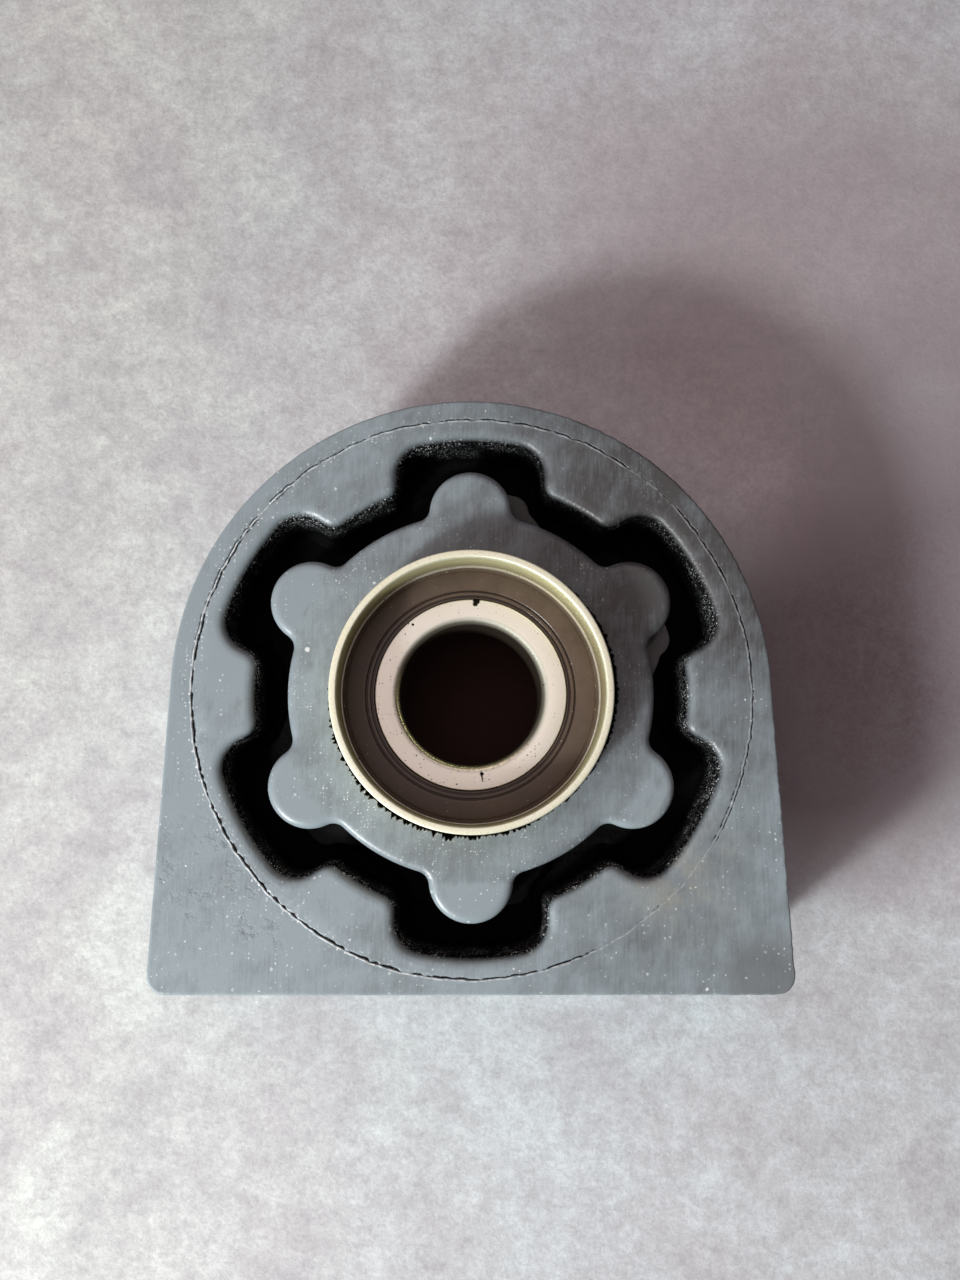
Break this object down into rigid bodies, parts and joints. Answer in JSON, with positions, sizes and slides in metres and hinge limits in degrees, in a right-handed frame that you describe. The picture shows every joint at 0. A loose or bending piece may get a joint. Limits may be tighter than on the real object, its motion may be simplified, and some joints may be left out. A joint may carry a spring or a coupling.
{
  "type": "driveshaft centre bearing",
  "caption": "Driveshaft centre support bearing: sealed ball bearing in a plated sheet steel casing, bonded into an arched rubber cushion with a lobed hub and a wavy cavity.",
  "frame": {"origin": "centre of the bearing bore, half way through the rings", "axes": "+Z along the shaft axis, out of the front face; +Y towards the top of the arch; the flat base faces -Y"},
  "size_m": [0.1322, 0.1243, 0.0445],
  "materials": {
    "cushion_rubber": "moulded, matt, with a pale bloom",
    "zinc_plated_steel": "yellow zinc plating, satin",
    "bearing_steel": "ground",
    "ball_steel": "polished",
    "cage_steel": "pressed sheet, satin",
    "seal_rubber": "brown rubber, semi-gloss"
  },
  "bodies": {
    "housing": {"rubber_cushion": "cushion_rubber", "casing_front_shell": "zinc_plated_steel", "casing_rear_shell": "zinc_plated_steel", "outer_ring": "bearing_steel", "front_seal": "seal_rubber", "rear_seal": "seal_rubber"},
    "inner_race": {"inner_ring": "bearing_steel"},
    "cage": {"cage_front": "cage_steel", "cage_rear": "cage_steel", "cage_rivets": "cage_steel"},
    "ball_1": {"ball_1": "ball_steel"},
    "ball_2": {"ball_2": "ball_steel"},
    "ball_3": {"ball_3": "ball_steel"},
    "ball_4": {"ball_4": "ball_steel"},
    "ball_5": {"ball_5": "ball_steel"},
    "ball_6": {"ball_6": "ball_steel"},
    "ball_7": {"ball_7": "ball_steel"},
    "ball_8": {"ball_8": "ball_steel"},
    "ball_9": {"ball_9": "ball_steel"}
  },
  "joints": [
    {"name": "inner_ring_spin", "type": "hinge", "parent": "housing", "child": "inner_race", "pos_m": [0, 0, 0], "axis": [0, 0, 1], "continuous": true},
    {"name": "cage_spin", "type": "hinge", "parent": "housing", "child": "cage", "pos_m": [0, 0, 0], "axis": [0, 0, 1], "continuous": true},
    {"name": "ball_1_roll", "type": "hinge", "parent": "cage", "child": "ball_1", "pos_m": [0.023, 0, 0], "axis": [0, 0, 1], "continuous": true},
    {"name": "ball_2_roll", "type": "hinge", "parent": "cage", "child": "ball_2", "pos_m": [0.01762, 0.01478, 0], "axis": [0, 0, 1], "continuous": true},
    {"name": "ball_3_roll", "type": "hinge", "parent": "cage", "child": "ball_3", "pos_m": [0.00399, 0.02265, 0], "axis": [0, 0, 1], "continuous": true},
    {"name": "ball_4_roll", "type": "hinge", "parent": "cage", "child": "ball_4", "pos_m": [-0.0115, 0.01992, 0], "axis": [0, 0, 1], "continuous": true},
    {"name": "ball_5_roll", "type": "hinge", "parent": "cage", "child": "ball_5", "pos_m": [-0.02161, 0.00787, 0], "axis": [0, 0, 1], "continuous": true},
    {"name": "ball_6_roll", "type": "hinge", "parent": "cage", "child": "ball_6", "pos_m": [-0.02161, -0.00787, 0], "axis": [0, 0, 1], "continuous": true},
    {"name": "ball_7_roll", "type": "hinge", "parent": "cage", "child": "ball_7", "pos_m": [-0.0115, -0.01992, 0], "axis": [0, 0, 1], "continuous": true},
    {"name": "ball_8_roll", "type": "hinge", "parent": "cage", "child": "ball_8", "pos_m": [0.00399, -0.02265, 0], "axis": [0, 0, 1], "continuous": true},
    {"name": "ball_9_roll", "type": "hinge", "parent": "cage", "child": "ball_9", "pos_m": [0.01762, -0.01478, 0], "axis": [0, 0, 1], "continuous": true}
  ],
  "couplings": [
    {"joint": "cage_spin", "follows": "inner_ring_spin", "ratio": 0.39647},
    {"joint": "ball_1_roll", "follows": "inner_ring_spin", "ratio": -2.3112},
    {"joint": "ball_2_roll", "follows": "inner_ring_spin", "ratio": -2.3112},
    {"joint": "ball_3_roll", "follows": "inner_ring_spin", "ratio": -2.3112},
    {"joint": "ball_4_roll", "follows": "inner_ring_spin", "ratio": -2.3112},
    {"joint": "ball_5_roll", "follows": "inner_ring_spin", "ratio": -2.3112},
    {"joint": "ball_6_roll", "follows": "inner_ring_spin", "ratio": -2.3112},
    {"joint": "ball_7_roll", "follows": "inner_ring_spin", "ratio": -2.3112},
    {"joint": "ball_8_roll", "follows": "inner_ring_spin", "ratio": -2.3112},
    {"joint": "ball_9_roll", "follows": "inner_ring_spin", "ratio": -2.3112}
  ]
}
